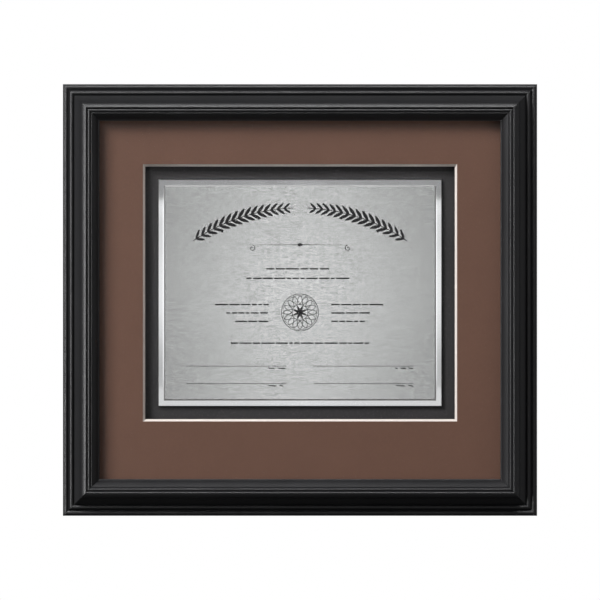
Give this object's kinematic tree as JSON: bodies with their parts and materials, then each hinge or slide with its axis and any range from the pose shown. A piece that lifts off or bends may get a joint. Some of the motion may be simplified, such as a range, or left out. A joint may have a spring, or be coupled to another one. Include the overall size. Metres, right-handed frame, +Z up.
{
  "type": "certificate frame",
  "caption": "Landscape wall frame with a moulded black rail, brown window mat and recessed metal certificate plate, held from the back by turn buttons and hung by D rings.",
  "frame": {"origin": "on the wall, behind the middle of the frame: the point of the plane that the rear faces of the wall bumpers touch that lies midway across the frame's outer width and height", "axes": "+X to the right as one looks at the face, +Z up, +Y into the wall, so the face looks along -Y"},
  "size_m": [0.4244, 0.0298, 0.3862],
  "materials": {
    "moulding": "satin black paint on moulded wood",
    "steel_hardware": "nickel plated, semi-bright",
    "glazing": "clear picture glazing",
    "mat_board": "brown paper face, cream core shown on the bevel",
    "spacer_foam": "white foam-centred board",
    "black_board": "matte black paper face",
    "tape": "foam tape",
    "polished_metal": "mirror polished",
    "brushed_metal": "brushed along its length, with black etched ornament",
    "hardboard": "plain hardboard",
    "rubber": "matte black rubber"
  },
  "bodies": {
    "frame": {"rail_top": "moulding", "rail_bottom": "moulding", "rail_left": "moulding", "rail_right": "moulding", "corner_v_nails": "steel_hardware", "glazing_sheet": "glazing", "window_mat": "mat_board", "spacer_strip_top": "spacer_foam", "spacer_strip_bottom": "spacer_foam", "spacer_strip_left": "spacer_foam", "spacer_strip_right": "spacer_foam", "mount_board": "black_board", "plate_tape_pads": "tape", "polished_rim_plate": "polished_metal", "brushed_certificate_panel": "brushed_metal", "backing_board": "hardboard", "turn_button_screws": "steel_hardware", "hanger_strap_left": "steel_hardware", "hanger_strap_right": "steel_hardware", "hanger_screws": "steel_hardware", "wall_bumper_left": "rubber", "wall_bumper_right": "rubber"},
    "turn_button_top_left": {"turn_button_top_left": "steel_hardware"},
    "turn_button_top_right": {"turn_button_top_right": "steel_hardware"},
    "turn_button_bottom_left": {"turn_button_bottom_left": "steel_hardware"},
    "turn_button_bottom_right": {"turn_button_bottom_right": "steel_hardware"},
    "turn_button_left_upper": {"turn_button_left_upper": "steel_hardware"},
    "turn_button_left_lower": {"turn_button_left_lower": "steel_hardware"},
    "turn_button_right_upper": {"turn_button_right_upper": "steel_hardware"},
    "turn_button_right_lower": {"turn_button_right_lower": "steel_hardware"},
    "hanger_ring_left": {"hanger_ring_left": "steel_hardware"},
    "hanger_ring_right": {"hanger_ring_right": "steel_hardware"}
  },
  "joints": [
    {"name": "turn_button_top_left_turn", "type": "hinge", "parent": "frame", "child": "turn_button_top_left", "pos_m": [-0.09208, -0.0041, 0.1731], "axis": [0, 1, 0], "continuous": true},
    {"name": "turn_button_top_right_turn", "type": "hinge", "parent": "frame", "child": "turn_button_top_right", "pos_m": [0.09208, -0.0041, 0.1731], "axis": [0, 1, 0], "continuous": true},
    {"name": "turn_button_bottom_left_turn", "type": "hinge", "parent": "frame", "child": "turn_button_bottom_left", "pos_m": [-0.09208, -0.0041, -0.1731], "axis": [0, 1, 0], "continuous": true},
    {"name": "turn_button_bottom_right_turn", "type": "hinge", "parent": "frame", "child": "turn_button_bottom_right", "pos_m": [0.09208, -0.0041, -0.1731], "axis": [0, 1, 0], "continuous": true},
    {"name": "turn_button_left_upper_turn", "type": "hinge", "parent": "frame", "child": "turn_button_left_upper", "pos_m": [-0.19215, -0.0041, 0.05283], "axis": [0, 1, 0], "continuous": true},
    {"name": "turn_button_left_lower_turn", "type": "hinge", "parent": "frame", "child": "turn_button_left_lower", "pos_m": [-0.19215, -0.0041, -0.05283], "axis": [0, 1, 0], "continuous": true},
    {"name": "turn_button_right_upper_turn", "type": "hinge", "parent": "frame", "child": "turn_button_right_upper", "pos_m": [0.19215, -0.0041, 0.05283], "axis": [0, 1, 0], "continuous": true},
    {"name": "turn_button_right_lower_turn", "type": "hinge", "parent": "frame", "child": "turn_button_right_lower", "pos_m": [0.19215, -0.0041, -0.05283], "axis": [0, 1, 0], "continuous": true},
    {"name": "hanger_ring_left_swing", "type": "hinge", "parent": "frame", "child": "hanger_ring_left", "pos_m": [-0.19815, -0.00232, 0.11227], "axis": [1, 0, 0], "range_deg": [0, 180]},
    {"name": "hanger_ring_right_swing", "type": "hinge", "parent": "frame", "child": "hanger_ring_right", "pos_m": [0.19815, -0.00232, 0.11227], "axis": [1, 0, 0], "range_deg": [0, 180]}
  ]
}
